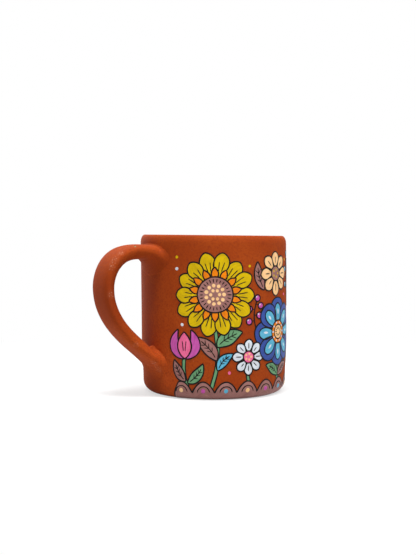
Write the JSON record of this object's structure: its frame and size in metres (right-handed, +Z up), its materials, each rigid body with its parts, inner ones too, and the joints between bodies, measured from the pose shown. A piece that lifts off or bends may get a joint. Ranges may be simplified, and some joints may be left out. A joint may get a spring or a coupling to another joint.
{
  "type": "mug",
  "caption": "Straight-sided terracotta mug with a flat base, a rounded lip and a pulled strap handle luted to the wall, for hot or cold drinks.",
  "frame": {"origin": "centre of the flat base, on the cup's axis", "axes": "+Z up along the cup's axis, -X out towards the handle, Y across the handle's strap"},
  "size_m": [0.1112, 0.08, 0.0855],
  "materials": {
    "terracotta": "bare fired clay, matte to satin",
    "clay_slip": "smoothed slip, fired, matte to satin"
  },
  "bodies": {
    "root": {"cup": "terracotta", "handle": "terracotta", "upper_slip_joint": "clay_slip", "lower_slip_joint": "clay_slip"}
  },
  "joints": []
}
